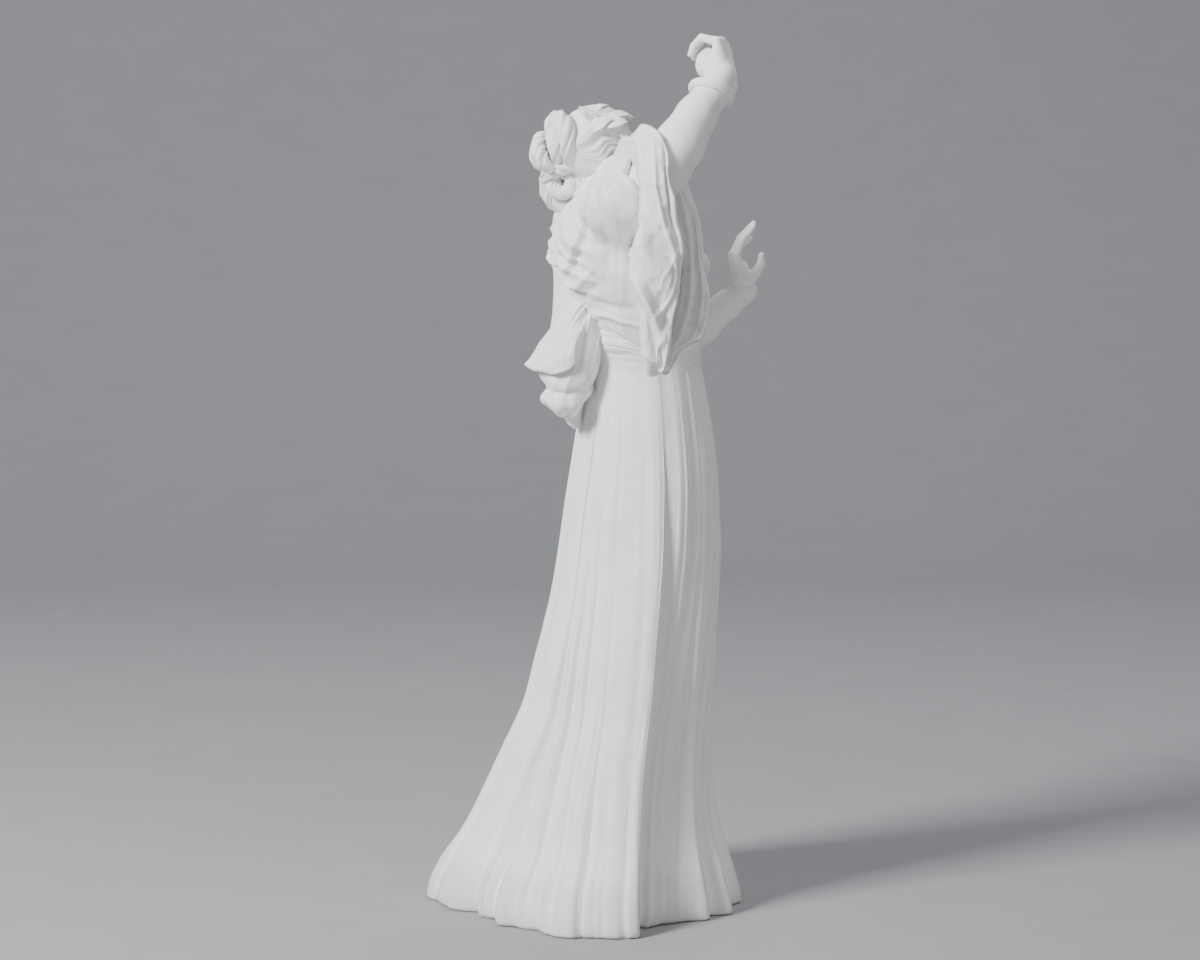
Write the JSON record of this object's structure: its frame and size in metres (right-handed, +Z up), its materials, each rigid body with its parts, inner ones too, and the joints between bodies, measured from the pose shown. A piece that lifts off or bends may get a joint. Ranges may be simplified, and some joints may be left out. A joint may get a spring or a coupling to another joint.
{
  "type": "porcelain figurine",
  "caption": "Standing dancer in white unglazed porcelain, one arm raised, in a pleated trailing dress with wide draped sleeves; hollow, open at the foot.",
  "frame": {"origin": "centre of the bounding box at the foot plane", "axes": "+Z up; the figure faces about 35 degrees to +Y of +X; the skirt's train lies towards -X and -Y"},
  "size_m": [0.2004, 0.1956, 0.4983],
  "materials": {
    "biscuit_porcelain": "unglazed matte biscuit, fired white"
  },
  "bodies": {
    "root": {"skirt_front": "biscuit_porcelain", "skirt_back": "biscuit_porcelain", "sash": "biscuit_porcelain", "bodice": "biscuit_porcelain", "back_drape": "biscuit_porcelain", "collar": "biscuit_porcelain", "head": "biscuit_porcelain", "chignon_bun": "biscuit_porcelain", "nape_knot": "biscuit_porcelain", "hair_leaves": "biscuit_porcelain", "right_arm": "biscuit_porcelain", "right_hand": "biscuit_porcelain", "bangle": "biscuit_porcelain", "right_sleeve": "biscuit_porcelain", "left_arm": "biscuit_porcelain", "left_hand": "biscuit_porcelain", "left_sleeve": "biscuit_porcelain", "left_sleeve_tail": "biscuit_porcelain"}
  },
  "joints": []
}
